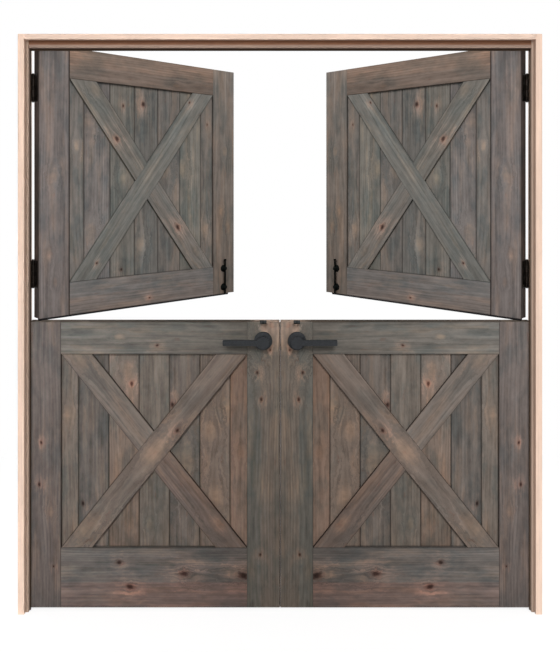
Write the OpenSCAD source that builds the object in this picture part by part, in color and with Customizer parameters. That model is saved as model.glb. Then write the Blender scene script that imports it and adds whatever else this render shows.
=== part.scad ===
// Pair of dutch stable doors in a timber frame: two upper leaves standing open, two lower leaves closed.
// X runs right seen from outside, Y runs indoors, Z runs up from the floor at the middle of the opening.

/* [Leaves] */
// Width of each leaf
leaf_w = 914; // [820:1:1000]
// Thickness of each leaf
leaf_t = 44.5; // [42:0.5:56]
// Height of a lower leaf
lower_h = 1038; // [900:1:1150]
// Height of an upper leaf
upper_h = 1010; // [900:1:1150]
// Angle the upper leaves stand open
upper_open = 43; // [20:1:80]
// Width of the stiles
stile_w = 118.5; // [100:0.5:135]
// Height of an upper leaf's top rail
upper_top_rail = 116; // [90:1:140]
// Height of an upper leaf's bottom rail
upper_bottom_rail = 123; // [90:1:150]
// Height of a lower leaf's top rail
lower_top_rail = 117; // [95:1:150]
// Height of a lower leaf's bottom rail
lower_bottom_rail = 217; // [150:1:260]

/* [Boards and braces] */
// Thickness of the panel boards
board_t = 24; // [20:1:30]
// Spacing of the full boards
board_pitch = 110.6; // [90:0.1:125]
// Least width of the narrow boards at the sides
edge_board_min = 40; // [30:1:50]
// Chamfer of the V joint between boards
v_joint = 2; // [1:0.1:3]
// Gap at the V joint
board_gap = 0.4; // [0.2:0.1:0.8]
// Length of a board's tongue
tongue_l = 7; // [5:0.5:9]
// Thickness of a board's tongue
tongue_t = 8; // [6:0.5:9]
// Room above and below a tongue in its groove
tongue_fit = 0.2; // [0.1:0.05:0.4]
// How far boards and tenons enter the grooves
groove_in = 10; // [8:1:14]
// Space left at the bottom of a groove
groove_spare = 2; // [1:0.5:3]
// Width of the braces across their length
brace_w = 89; // [70:1:105]
// How far a brace lies below the face of the stiles
brace_set = 0.75; // [0.25:0.25:2]
// Joint round the ends of the braces
brace_gap = 0.8; // [0.4:0.1:1.5]

/* [Frame] */
// Thickness of the side jambs
jamb_t = 23; // [18:1:35]
// Thickness of the head
head_t = 20; // [16:1:35]
// Depth of jamb in front of the stops
reveal = 14; // [8:1:25]
// Depth of the stops
stop_d = 12; // [10:1:20]
// How far the side stops stand out
side_stop_w = 11; // [9:1:16]
// How far the head stop hangs down
head_stop_w = 28; // [20:1:36]
// Thickness of the weatherstrip
strip_t = 5; // [3:0.5:8]
// Width of the weatherstrip
strip_w = 11; // [9.5:0.5:13]
// How far the strip shows past the side stops
strip_side = 3; // [1:0.5:5]
// How far the strip shows below the head stop
strip_head = 8; // [3:0.5:9]
// Space between the weatherstrip and a closed leaf
strip_gap = 0.5; // [0.3:0.1:1]
// Gap on the hinge side of a leaf
hinge_gap = 3; // [2.5:0.1:4]
// Gap between the leaves at the middle
meeting_gap = 3; // [3:0.1:5]
// Gap above the upper leaves
head_gap = 3; // [2:0.5:6]
// Gap under the lower leaves
floor_gap = 6; // [3:0.5:15]
// Gap between upper and lower leaves
split_gap = 8; // [6:0.5:12]

/* [Hinges] */
// Length of a hinge
hinge_h = 102; // [76:1:120]
// Distance from a leaf's end to the middle of a hinge
hinge_inset = 160; // [120:1:220]
// Width of a hinge plate let into the wood
plate_w = 32; // [24:1:36]
// Thickness of a hinge plate
plate_t = 2.5; // [2:0.1:3.5]
// Radius of the knuckles
knuckle_r = 6; // [5:0.1:7]
// Radius of the pins
pin_r = 3; // [2.5:0.1:3.5]
// Height of the pins' round heads
pin_head = 4; // [2:0.5:6]
// Space between knuckles, and between the barrel and the wood
knuckle_gap = 0.4; // [0.3:0.1:0.6]
// Room round the pins and the sliding rods
running_fit = 0.06; // [0.04:0.01:0.1]
// Room round a plate that is let into the wood
let_in = 0.3; // [0.1:0.1:0.6]

/* [Bolts] */
// Distance of the bolts and levers from the meeting edge
backset = 60; // [54:1:66]
// Radius of the bolt rods
rod_r = 4; // [3.5:0.25:5]
// Length of the bolt rods
rod_l = 157; // [130:1:190]
// Distance of the rod's axis from the leaf's face
rod_out = 12; // [10:0.5:14]
// Radius of the round guides
guide_r = 16; // [14:0.5:19]
// Radius of the guides' bosses
boss_r = 8.5; // [8:0.5:12]
// Height of the lower guide's middle
guide_low = 30; // [24:1:36]
// Height of the upper guide's middle
guide_high = 114; // [90:1:122]
// Width of the keepers
keeper_w = 24; // [18:1:32]
// Thickness of the keepers
keeper_t = 2.5; // [2:0.1:4]
// How far a keeper reaches in over the top of the leaf
keeper_in = 30; // [22:1:36]
// Room round a thrown rod in its keeper
keeper_room = 0.8; // [0.5:0.1:1.5]

/* [Seals] */
// Width of the seal under an upper leaf
seal_w = 14; // [10:0.5:20]
// Space between the seal and a lower leaf
seal_gap = 0.6; // [0.4:0.1:1]
// Distance of the seal from the leaf's face
seal_set = 1; // [0.5:0.5:8]
// Distance of the seal's end from the hinge edge
seal_start = 2; // [1:1:50]
// Distance of the seal's end from the meeting edge
seal_short = 33; // [15:1:50]

/* [Levers and locks] */
// Depth of the lever's axis below the lower leaf's top
lever_drop = 68; // [62:1:80]
// Radius of the rosettes
rosette_r = 33; // [28:0.5:36]
// Thickness of the rosettes
rosette_t = 8; // [6:0.5:12]
// Reach of a lever from its axis
lever_l = 144; // [110:1:160]
// Height of the lever's bar
lever_h = 19.6; // [16:0.2:24]
// Thickness of the lever's bar
lever_t = 10; // [8:0.5:12]
// Radius of the lever's round hub
hub_r = 22; // [18:0.5:26]
// Radius of the corners at the lever's tip
tip_r = 3; // [1:0.5:6]
// Space between the leaf and the lever's bar
lever_out = 29; // [24:1:45]
// Radius of the lever's neck
neck_r = 8.5; // [7.5:0.25:9.5]
// Width of the square spindle
spindle_w = 8; // [7:0.5:9]
// Radius of the bore for the spindle
cross_bore_r = 14; // [12.5:0.5:20]
// Radius of the lock case
case_r = 11; // [10:0.5:12]
// Depth of the lock case in the stile
case_l = 76; // [72:1:88]
// Radius of the lock bolt
bolt_r = 7; // [6:0.25:8]
// Length of the lock bolt
bolt_l = 36; // [28:1:40]
// Width of the face and strike plates
face_w = 24; // [23:0.5:28]
// Height of the face and strike plates
face_h = 57; // [50:1:70]
// Thickness of the face and strike plates
face_t = 2.5; // [2:0.1:4]
// Depth of the hole behind the strike plate
strike_depth = 20; // [18:1:26]
// Room beside a thrown bolt in its strike
strike_room = 2; // [1:0.5:3]
// Radius of the floor bolt
floor_bolt_r = 6; // [5:0.25:7]

/* [Hidden] */
$fn = 48;
half_open = leaf_w + hinge_gap + meeting_gap / 2;
half_frame = half_open + jamb_t;
leaf_y = reveal + stop_d + strip_t + strip_gap;
frame_d = leaf_y + leaf_t;
lower_z = floor_gap;
upper_z = lower_z + lower_h + split_gap;
soffit_z = upper_z + upper_h + head_gap;
head_z = soffit_z + head_t;
panel_w = leaf_w - 2 * stile_w;
board_y = (leaf_t - board_t) / 2;
full_boards = floor((panel_w - 2 * edge_board_min) / board_pitch);
edge_board = (panel_w - full_boards * board_pitch) / 2;
slot_t = tongue_t + 2 * tongue_fit;
groove_d = groove_in + groove_spare;
axis_x = half_open - hinge_gap / 2;
axis_in = knuckle_r + knuckle_gap;
axis_y = frame_d + axis_in;
knuckle_h = hinge_h / 5;
lever_z = lower_h - lever_drop;
hand_x = leaf_w - backset;
seal_h = split_gap - seal_gap;
strike_w = 2 * (bolt_r + strike_room);
strike_h = strike_w + 6;
rod_end = 0.5;
bolt_back = 0.5;
wood = [0.46, 0.42, 0.39];
board_wood = [0.43, 0.4, 0.37];
brace_wood = [0.5, 0.45, 0.4];
frame_wood = [0.9, 0.8, 0.7];
rubber = [0.16, 0.12, 0.1];
iron = [0.12, 0.12, 0.13];
steel = [0.6, 0.6, 0.6];

// Sub-part to draw

// Heights of the two hinge middles on a leaf of height h
function hinge_middles(h) = [hinge_inset, h - hinge_inset];

// Run of a brace along the opening w by h, so that its width across is b
function brace_run(w, h, b) =
    (w * h * h - h * sqrt(w * w * h * h - (h * h - b * b) * (w * w - b * b))) / (h * h - b * b);

// Left and right placing of what is drawn for the left
module on_side(side) {
    if (side < 0)
        children();
    else
        mirror([1, 0, 0])
            children();
}

// A leaf drawn from its hinge edge, its front face and its bottom edge
module lower(side) {
    on_side(side)
        translate([hinge_gap - half_open, leaf_y, lower_z])
            children();
}

module upper(side) {
    on_side(side)
        translate([-axis_x, axis_y, 0])
            rotate([0, 0, upper_open])
                translate([axis_x + hinge_gap - half_open, leaf_y - axis_y, upper_z])
                    children();
}

// A cylinder along Y or X from a point
module along_y(p, r, l) {
    translate(p)
        rotate([-90, 0, 0])
            cylinder(h = l, r = r);
}

module along_x(p, r, l) {
    translate(p)
        rotate([0, 90, 0])
            cylinder(h = l, r = r);
}

module jamb(side) {
    color(frame_wood)
        on_side(side)
            difference() {
                translate([-half_frame, 0, 0])
                    cube([jamb_t, frame_d, head_z]);
                for (z = concat(
                    [for (m = hinge_middles(lower_h)) lower_z + m],
                    [for (m = hinge_middles(upper_h)) upper_z + m]
                ))
                    translate([-half_open - plate_t, frame_d - plate_w - let_in, z - hinge_h / 2 - let_in])
                        cube([plate_t + 1, plate_w + let_in + 1, hinge_h + 2 * let_in]);
            }
}

module head_jamb() {
    color(frame_wood)
        translate([-half_open, 0, soffit_z])
            cube([2 * half_open, frame_d, head_t]);
}

module side_stop(side) {
    color(frame_wood)
        on_side(side)
            translate([-half_open, reveal, 0])
                cube([side_stop_w, stop_d, soffit_z]);
}

module head_stop() {
    color(frame_wood)
        translate([side_stop_w - half_open, reveal, soffit_z - head_stop_w])
            cube([2 * (half_open - side_stop_w), stop_d, head_stop_w]);
}

// Flat strip with a round lip, w wide, drawn from its outer edge towards the opening
module strip_profile() {
    union() {
        square([strip_w - strip_t / 2, strip_t]);
        translate([strip_w - strip_t / 2, strip_t / 2])
            circle(r = strip_t / 2);
    }
}

module weatherstrips() {
    strip_z = soffit_z - head_stop_w - strip_head;
    strip_x = half_open - side_stop_w - strip_side + strip_w;
    color(rubber) {
        for (side = [-1, 1])
            on_side(side)
                translate([-strip_x, reveal + stop_d, 0])
                    linear_extrude(height = strip_z)
                        strip_profile();
        translate([-strip_x, reveal + stop_d, strip_z + strip_w])
            rotate([0, 90, 0])
                linear_extrude(height = 2 * strip_x)
                    strip_profile();
    }
}

// The knuckles of one hinge whose places are listed, with the plate's tongue running out to each
module knuckles(places, x0) {
    for (k = places)
        translate([0, 0, k * knuckle_h + knuckle_gap / 2]) {
            translate([x0, -axis_in, 0])
                cube([plate_t, axis_in, knuckle_h - knuckle_gap]);
            cylinder(h = knuckle_h - knuckle_gap, r = knuckle_r);
        }
}

// One half of a hinge, from the bottom of its pin's axis, with its plate starting at x0
module hinge_half(places, x0) {
    difference() {
        union() {
            translate([x0, -axis_in - plate_w, 0])
                cube([plate_t, plate_w, hinge_h]);
            knuckles(places, x0);
        }
        translate([0, 0, -1])
            cylinder(h = hinge_h + 2, r = pin_r + running_fit);
    }
}

module leaf_hinges(h) {
    color(steel)
        for (m = hinge_middles(h))
            translate([-hinge_gap / 2, leaf_t + axis_in, m - hinge_h / 2])
                hinge_half([1, 3], hinge_gap / 2);
}

// Floor heights of every hinge's lower end on one side
hinge_feet = concat(
    [for (m = hinge_middles(lower_h)) lower_z + m - hinge_h / 2],
    [for (m = hinge_middles(upper_h)) upper_z + m - hinge_h / 2]
);

module jamb_hinges(side) {
    color(steel)
        on_side(side)
            for (z = hinge_feet)
                translate([-axis_x, axis_y, z])
                    hinge_half([0, 2, 4], -hinge_gap / 2 - plate_t);
}

module hinge_pins() {
    color(steel)
        for (side = [-1, 1])
            on_side(side)
                for (z = hinge_feet)
                    translate([-axis_x, axis_y, z])
                        rotate_extrude()
                            polygon([
                                [0, -pin_head / 2], [pin_r, -pin_head / 2],
                                [pin_r, hinge_h - knuckle_gap / 2],
                                [pin_r + 1.6, hinge_h - knuckle_gap / 2],
                                [pin_r + 1.6, hinge_h + pin_head / 2],
                                [pin_r - 0.4, hinge_h + pin_head],
                                [0, hinge_h + pin_head]
                            ]);
}

// Long groove for the boards and tenons
module groove(p, size) {
    translate(p)
        cube(size);
}

module hinge_stile(h) {
    color(wood)
        difference() {
            cube([stile_w, leaf_t, h]);
            groove([stile_w - groove_d, board_y, -1], [groove_d + 1, board_t, h + 2]);
            for (m = hinge_middles(h))
                translate([-1, leaf_t - plate_w - let_in, m - hinge_h / 2 - let_in])
                    cube([plate_t + 1, plate_w + let_in + 1, hinge_h + 2 * let_in]);
        }
}

module plain_meeting_stile(h) {
    difference() {
        translate([leaf_w - stile_w, 0, 0])
            cube([stile_w, leaf_t, h]);
        groove([leaf_w - stile_w - 1, board_y, -1], [groove_d + 1, board_t, h + 2]);
    }
}

module upper_meeting_stile() {
    color(wood)
        plain_meeting_stile(upper_h);
}

// What both lower meeting stiles lose to the spindle, the keeper and the plate on the edge
module lower_cuts() {
    along_y([hand_x, -1, lever_z], cross_bore_r, leaf_t + 2);
    translate([hand_x - keeper_w / 2 - let_in, -1, lower_h - keeper_t])
        cube([keeper_w + 2 * let_in, keeper_in + let_in + 1, keeper_t + 1]);
    translate([leaf_w - face_t, leaf_t / 2 - face_w / 2 - let_in, lever_z - face_h / 2 - let_in])
        cube([face_t + 1, face_w + 2 * let_in, face_h + 2 * let_in]);
}

// Square hole that a thrown lock bolt enters
module strike_hole() {
    translate([leaf_w - strike_depth, (leaf_t - strike_w) / 2, lever_z - strike_h / 2])
        cube([strike_depth + 1, strike_w, strike_h]);
}

module strike_stile() {
    color(wood)
        difference() {
            plain_meeting_stile(lower_h);
            lower_cuts();
            strike_hole();
            translate([hand_x, leaf_t / 2, -1])
                cylinder(h = lever_z + 1, r = floor_bolt_r + running_fit);
        }
}

module lock_stile() {
    color(wood)
        difference() {
            plain_meeting_stile(lower_h);
            lower_cuts();
            along_x([leaf_w - case_l - let_in, leaf_t / 2, lever_z], case_r + let_in, case_l + 1);
        }
}

// A rail of height r at z, grooved on the edge towards the panel, with a stub tenon at each end
module rail(z, r, groove_z) {
    color(wood)
        difference() {
            translate([stile_w, 0, z]) {
                cube([panel_w, leaf_t, r]);
                translate([-groove_in, board_y, 0])
                    cube([panel_w + 2 * groove_in, board_t, r]);
            }
            groove([stile_w - groove_in - 1, board_y, groove_z], [panel_w + 2 * groove_in + 2, board_t, groove_d + 1]);
        }
}

module top_rail(h, r) {
    rail(h - r, r, h - r - 1);
}

module bottom_rail(r) {
    rail(0, r, r - groove_d);
}

// Plan of a board w wide, with a groove on its first edge and a tongue on its second
function board_plan(w, grooved, tongued) = concat(
    [[v_joint, 0], [w - v_joint, 0], [w, v_joint]],
    tongued ? [
        [w, (board_t - tongue_t) / 2], [w + tongue_l, (board_t - tongue_t) / 2],
        [w + tongue_l, (board_t + tongue_t) / 2], [w, (board_t + tongue_t) / 2]
    ] : [],
    [[w, board_t - v_joint], [w - v_joint, board_t], [v_joint, board_t], [0, board_t - v_joint]],
    grooved ? [
        [0, (board_t + slot_t) / 2], [tongue_l + 1, (board_t + slot_t) / 2],
        [tongue_l + 1, (board_t - slot_t) / 2], [0, (board_t - slot_t) / 2]
    ] : [],
    [[0, v_joint]]
);

// Boards side by side, standing in the grooves of the rails and stiles
module panel_boards(h, low, high) {
    color(board_wood)
        translate([stile_w, board_y, low - groove_in]) {
            translate([-groove_in, 0, 0])
                linear_extrude(height = h - low - high + 2 * groove_in)
                    polygon(board_plan(groove_in + edge_board - board_gap / 2, false, true));
            for (i = [0 : full_boards - 1])
                translate([edge_board + i * board_pitch + board_gap / 2, 0, 0])
                    linear_extrude(height = h - low - high + 2 * groove_in)
                        polygon(board_plan(board_pitch - board_gap, true, true));
            translate([panel_w - edge_board + board_gap / 2, 0, 0])
                linear_extrude(height = h - low - high + 2 * groove_in)
                    polygon(board_plan(edge_board + groove_in - board_gap / 2, true, false));
        }
}

// Draws a flat shape of the opening as two layers, on the front and the back of the boards
module brace_layers(low) {
    brace_t = board_y - brace_set;
    for (y = [brace_set, board_y + board_t])
        translate([stile_w + brace_gap, y + brace_t, low + brace_gap])
            rotate([90, 0, 0])
                linear_extrude(height = brace_t)
                    children();
}

// Corners of a brace across an opening w by h
function brace_plan(w, h, rising, grow) =
    let (run = brace_run(w, h, brace_w), over = w - run)
        rising
            ? [[-grow, 0], [over + grow, 0], [w + grow, h], [run - grow, h]]
            : [[-grow, h], [run - grow, 0], [w + grow, 0], [over + grow, h]];

module long_braces(h, low, high) {
    color(brace_wood)
        brace_layers(low)
            polygon(brace_plan(panel_w - 2 * brace_gap, h - low - high - 2 * brace_gap, true, 0));
}

module half_braces(h, low, high) {
    w = panel_w - 2 * brace_gap;
    tall = h - low - high - 2 * brace_gap;
    color(brace_wood)
        brace_layers(low)
            difference() {
                polygon(brace_plan(w, tall, false, 0));
                polygon(brace_plan(w, tall, true, brace_gap));
            }
}

module bottom_seal() {
    color(rubber)
        translate([seal_start, seal_set + seal_w / 2, 0])
            rotate([0, 90, 0])
                linear_extrude(height = leaf_w - seal_start - seal_short)
                    union() {
                        translate([0, -seal_w / 2])
                            square([seal_h / 2, seal_w]);
                        translate([seal_h / 2, seal_h / 2 - seal_w / 2])
                            square([seal_h / 2, seal_w - seal_h]);
                        for (y = [seal_h / 2 - seal_w / 2, seal_w / 2 - seal_h / 2])
                            translate([seal_h / 2, y])
                                circle(r = seal_h / 2);
                    }
}

module bolt_guides() {
    front = rod_out + rod_r + 3;
    color(iron)
        for (z = [guide_low, guide_high])
            difference() {
                translate([hand_x, 0, z])
                    rotate([90, 0, 0])
                        rotate_extrude()
                            polygon([
                                [0, 0], [guide_r, 0], [guide_r, 2], [guide_r - 1.5, 3.5], [boss_r, 4],
                                [boss_r, front - 4], [boss_r - 1.2, front - 1.5], [boss_r - 4, front], [0, front]
                            ]);
                translate([hand_x, -rod_out, z - guide_r])
                    cylinder(h = 2 * guide_r, r = rod_r + running_fit);
            }
}

module bolt_rod() {
    color(iron)
        translate([hand_x, -rod_out, 0])
            rotate_extrude()
                polygon([
                    [0, rod_end], [rod_r - 1, rod_end], [rod_r, rod_end + 1],
                    [rod_r, rod_l - 8], [rod_r + 1.8, rod_l - 5],
                    [rod_r + 1.8, rod_l - 1.5], [rod_r + 0.3, rod_l], [0, rod_l]
                ]);
}

// Plate let into the top of a lower leaf, with a tab in front for the rod
module bolt_keeper() {
    color(iron)
        translate([hand_x, 0, lower_h - keeper_t])
            difference() {
                union() {
                    translate([-keeper_w / 2, -rod_out, 0])
                        cube([keeper_w, rod_out + keeper_in, keeper_t]);
                    translate([0, -rod_out, 0])
                        cylinder(h = keeper_t, r = keeper_w / 2);
                }
                translate([0, -rod_out, -1])
                    cylinder(h = keeper_t + 2, r = rod_r + keeper_room);
            }
}

module rosette() {
    rotate([90, 0, 0])
        rotate_extrude()
            polygon([
                [neck_r + running_fit, 0], [rosette_r, 0], [rosette_r, rosette_t - 2],
                [rosette_r - 0.6, rosette_t - 0.6], [rosette_r - 2, rosette_t], [neck_r + running_fit, rosette_t]
            ]);
}

module rosettes() {
    color(iron) {
        translate([hand_x, 0, lever_z])
            rosette();
        translate([hand_x, leaf_t, lever_z])
            rotate([0, 0, 180])
                rosette();
    }
}

// Hub, bar and neck of a lever that points to -X, drawn on the front of the plane y = 0
module lever() {
    translate([0, -lever_out, 0])
        rotate([90, 0, 0])
            linear_extrude(height = lever_t)
                union() {
                    circle(r = hub_r);
                    translate([tip_r - lever_l, -lever_h / 2])
                        square([lever_l - tip_r, lever_h]);
                    translate([-lever_l, tip_r - lever_h / 2])
                        square([lever_l, lever_h - 2 * tip_r]);
                    for (z = [tip_r - lever_h / 2, lever_h / 2 - tip_r])
                        translate([tip_r - lever_l, z])
                            circle(r = tip_r);
                }
    translate([0, -0.5, 0])
        rotate([90, 0, 0])
            cylinder(h = lever_out, r = neck_r);
}

module outside_lever() {
    color(iron)
        translate([hand_x, 0, lever_z]) {
            lever();
            translate([-spindle_w / 2, -1, -spindle_w / 2])
                cube([spindle_w, leaf_t + lever_out - 4, spindle_w]);
        }
}

module inside_lever() {
    color(iron)
        translate([hand_x, leaf_t, lever_z])
            difference() {
                mirror([0, 1, 0])
                    lever();
                translate([-spindle_w / 2, 0, -spindle_w / 2])
                    cube([spindle_w, lever_out - 4, spindle_w]);
            }
}

// Tube with a face plate, bored for the bolt and crossed by the spindle
module lock_case() {
    color(steel)
        difference() {
            union() {
                along_x([leaf_w - case_l, leaf_t / 2, lever_z], case_r, case_l);
                translate([leaf_w - face_t, leaf_t / 2 - face_w / 2, lever_z - face_h / 2])
                    cube([face_t, face_w, face_h]);
            }
            along_x([leaf_w - bolt_l - 2, leaf_t / 2, lever_z], bolt_r + running_fit, bolt_l + 3);
            along_y([hand_x, leaf_t / 2 - case_r - 1, lever_z], spindle_w * 0.75, 2 * case_r + 2);
        }
}

module lock_bolt() {
    color(steel)
        translate([leaf_w - bolt_back - bolt_l, leaf_t / 2, lever_z])
            rotate([0, 90, 0])
                rotate_extrude()
                    polygon([
                        [0, 0], [bolt_r, 0], [bolt_r, bolt_l - 1], [bolt_r - 1, bolt_l], [0, bolt_l]
                    ]);
}

module strike_plate() {
    color(steel)
        difference() {
            translate([leaf_w - face_t, leaf_t / 2 - face_w / 2, lever_z - face_h / 2])
                cube([face_t, face_w, face_h]);
            strike_hole();
        }
}

module floor_bolt() {
    color(steel)
        translate([hand_x, leaf_t / 2, rod_end])
            cylinder(h = lever_z - spindle_w - rod_end, r = floor_bolt_r);
}

jamb(-1);  // left_jamb
jamb(1);  // right_jamb
head_jamb();
side_stop(-1);  // left_stop
side_stop(1);  // right_stop
head_stop();
weatherstrips();
jamb_hinges(-1);  // left_jamb_hinge_leaves
jamb_hinges(1);  // right_jamb_hinge_leaves
hinge_pins();
upper(-1) hinge_stile(upper_h);  // upper_left_hinge_stile
upper(-1) upper_meeting_stile();  // upper_left_meeting_stile
upper(-1) top_rail(upper_h, upper_top_rail);  // upper_left_top_rail
upper(-1) bottom_rail(upper_bottom_rail);  // upper_left_bottom_rail
upper(-1) panel_boards(upper_h, upper_bottom_rail, upper_top_rail);  // upper_left_panel_boards
upper(-1) long_braces(upper_h, upper_bottom_rail, upper_top_rail);  // upper_left_long_braces
upper(-1) half_braces(upper_h, upper_bottom_rail, upper_top_rail);  // upper_left_half_braces
upper(-1) leaf_hinges(upper_h);  // upper_left_hinge_leaves
upper(-1) bottom_seal();  // upper_left_bottom_seal
upper(-1) bolt_guides();  // upper_left_bolt_guides
upper(-1) bolt_rod();  // upper_left_bolt_rod
upper(1) hinge_stile(upper_h);  // upper_right_hinge_stile
upper(1) upper_meeting_stile();  // upper_right_meeting_stile
upper(1) top_rail(upper_h, upper_top_rail);  // upper_right_top_rail
upper(1) bottom_rail(upper_bottom_rail);  // upper_right_bottom_rail
upper(1) panel_boards(upper_h, upper_bottom_rail, upper_top_rail);  // upper_right_panel_boards
upper(1) long_braces(upper_h, upper_bottom_rail, upper_top_rail);  // upper_right_long_braces
upper(1) half_braces(upper_h, upper_bottom_rail, upper_top_rail);  // upper_right_half_braces
upper(1) leaf_hinges(upper_h);  // upper_right_hinge_leaves
upper(1) bottom_seal();  // upper_right_bottom_seal
upper(1) bolt_guides();  // upper_right_bolt_guides
upper(1) bolt_rod();  // upper_right_bolt_rod
lower(-1) hinge_stile(lower_h);  // lower_left_hinge_stile
lower(-1) strike_stile();  // lower_left_meeting_stile
lower(-1) top_rail(lower_h, lower_top_rail);  // lower_left_top_rail
lower(-1) bottom_rail(lower_bottom_rail);  // lower_left_bottom_rail
lower(-1) panel_boards(lower_h, lower_bottom_rail, lower_top_rail);  // lower_left_panel_boards
lower(-1) long_braces(lower_h, lower_bottom_rail, lower_top_rail);  // lower_left_long_braces
lower(-1) half_braces(lower_h, lower_bottom_rail, lower_top_rail);  // lower_left_half_braces
lower(-1) leaf_hinges(lower_h);  // lower_left_hinge_leaves
lower(-1) bolt_keeper();  // lower_left_bolt_keeper
lower(-1) rosettes();  // lower_left_rosettes
lower(-1) outside_lever();  // lower_left_outside_lever
lower(-1) inside_lever();  // lower_left_inside_lever
lower(-1) strike_plate();  // lower_left_strike_plate
lower(-1) floor_bolt();  // lower_left_floor_bolt
lower(1) hinge_stile(lower_h);  // lower_right_hinge_stile
lower(1) lock_stile();  // lower_right_meeting_stile
lower(1) top_rail(lower_h, lower_top_rail);  // lower_right_top_rail
lower(1) bottom_rail(lower_bottom_rail);  // lower_right_bottom_rail
lower(1) panel_boards(lower_h, lower_bottom_rail, lower_top_rail);  // lower_right_panel_boards
lower(1) long_braces(lower_h, lower_bottom_rail, lower_top_rail);  // lower_right_long_braces
lower(1) half_braces(lower_h, lower_bottom_rail, lower_top_rail);  // lower_right_half_braces
lower(1) leaf_hinges(lower_h);  // lower_right_hinge_leaves
lower(1) bolt_keeper();  // lower_right_bolt_keeper
lower(1) rosettes();  // lower_right_rosettes
lower(1) outside_lever();  // lower_right_outside_lever
lower(1) inside_lever();  // lower_right_inside_lever
lower(1) lock_case();  // lower_right_lock_case
lower(1) lock_bolt();  // lower_right_lock_bolt
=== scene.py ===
import math
import random

import bmesh
import bpy
from mathutils import Matrix, Vector


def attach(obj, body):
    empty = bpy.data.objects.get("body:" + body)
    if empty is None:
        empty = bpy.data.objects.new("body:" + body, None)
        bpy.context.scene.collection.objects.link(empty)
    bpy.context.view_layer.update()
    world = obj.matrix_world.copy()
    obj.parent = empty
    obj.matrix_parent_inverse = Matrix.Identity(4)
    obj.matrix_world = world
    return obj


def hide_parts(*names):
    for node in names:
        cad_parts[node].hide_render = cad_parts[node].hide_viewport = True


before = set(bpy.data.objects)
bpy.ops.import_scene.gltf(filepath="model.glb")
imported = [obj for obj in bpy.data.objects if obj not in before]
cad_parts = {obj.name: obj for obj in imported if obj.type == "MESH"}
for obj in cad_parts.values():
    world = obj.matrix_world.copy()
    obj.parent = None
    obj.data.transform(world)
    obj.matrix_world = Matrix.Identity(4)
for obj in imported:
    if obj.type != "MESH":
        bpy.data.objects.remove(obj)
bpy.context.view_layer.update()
scene = bpy.context.scene
print("frame loaded:", len(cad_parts), "solids")


def seen(red, green, blue):
    # a colour as it looks on screen, 0 to 255, turned into Blender's linear values
    def linear(c):
        c = c / 255
        return c / 12.92 if c <= 0.04045 else ((c + 0.055) / 1.055) ** 2.4

    return (linear(red), linear(green), linear(blue), 1.0)


# helpers for the node trees
def feed(tree, socket, value):
    if isinstance(value, bpy.types.NodeSocket):
        tree.links.new(value, socket)
    else:
        socket.default_value = value


def put(tree, kind, inputs=None, **settings):
    node = tree.nodes.new("ShaderNode" + kind)
    for name, value in settings.items():
        setattr(node, name, value)
    for name, value in (inputs or {}).items():
        feed(tree, node.inputs[name], value)
    return node


def calc(tree, operation, *values):
    node = put(tree, "Math", operation=operation)
    for socket, value in zip(node.inputs, values):
        feed(tree, socket, value)
    return node.outputs[0]


def along(tree, operation, *values):
    node = put(tree, "VectorMath", operation=operation)
    for socket, value in zip(node.inputs, values):
        feed(tree, socket, value)
    return node.outputs[0]


def split(tree, value):
    return put(tree, "SeparateXYZ", {"Vector": value}).outputs


def ease(tree, value, start, end, low=0.0, high=1.0):
    node = put(tree, "MapRange", interpolation_type="SMOOTHSTEP")
    for socket, given in zip(node.inputs[:5], (value, start, end, low, high)):
        feed(tree, socket, given)
    return node.outputs[0]


def noise(tree, place, stretch, detail=2.0, rough=0.5, offset=(0.0, 0.0, 0.0)):
    moved = along(tree, "MULTIPLY_ADD", place, stretch, offset)
    inputs = {"Vector": moved, "Scale": 1.0, "Detail": detail, "Roughness": rough}
    return put(tree, "TexNoise", inputs).outputs[0]


def evenNoise(tree, *settings):
    # noise that swings evenly about zero
    return calc(tree, "SUBTRACT", noise(tree, *settings), 0.5)


def blendColour(tree, amount, first, second, kind="MIX"):
    node = put(tree, "Mix", data_type="RGBA", blend_type=kind)
    for index, value in zip((0, 6, 7), (amount, first, second)):
        feed(tree, node.inputs[index], value)
    return node.outputs[2]


def tint(tree, amount, colour, ratio):
    # moves a colour towards itself times a ratio, as far as the amount says
    strong = blendColour(tree, 1.0, colour, (*ratio, 1.0), "MULTIPLY")
    return blendColour(tree, amount, colour, strong)


def largest(tree, values):
    total = values[0]
    for value in values[1:]:
        total = calc(tree, "MAXIMUM", total, value)
    return total


def diagonal(tree, first, second):
    squares = [calc(tree, "MULTIPLY", side, side) for side in (first, second)]
    return calc(tree, "SQRT", calc(tree, "ADD", *squares))


def grey(tree, level):
    return put(tree, "CombineColor", {"Red": level, "Green": level, "Blue": level}).outputs[0]


def newGroup(name, inputs, outputs):
    group = bpy.data.node_groups.new(name, "ShaderNodeTree")
    for label, kind in inputs.items():
        group.interface.new_socket(name=label, in_out="INPUT", socket_type="NodeSocket" + kind)
    for label, kind in outputs.items():
        group.interface.new_socket(name=label, in_out="OUTPUT", socket_type="NodeSocket" + kind)
    return group, group.nodes.new("NodeGroupInput").outputs, group.nodes.new("NodeGroupOutput").inputs


def placeGroup(tree, group, inputs):
    node = tree.nodes.new("ShaderNodeGroup")
    node.node_tree = group
    for name, value in inputs.items():
        feed(tree, node.inputs[name], value)
    return node.outputs


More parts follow.
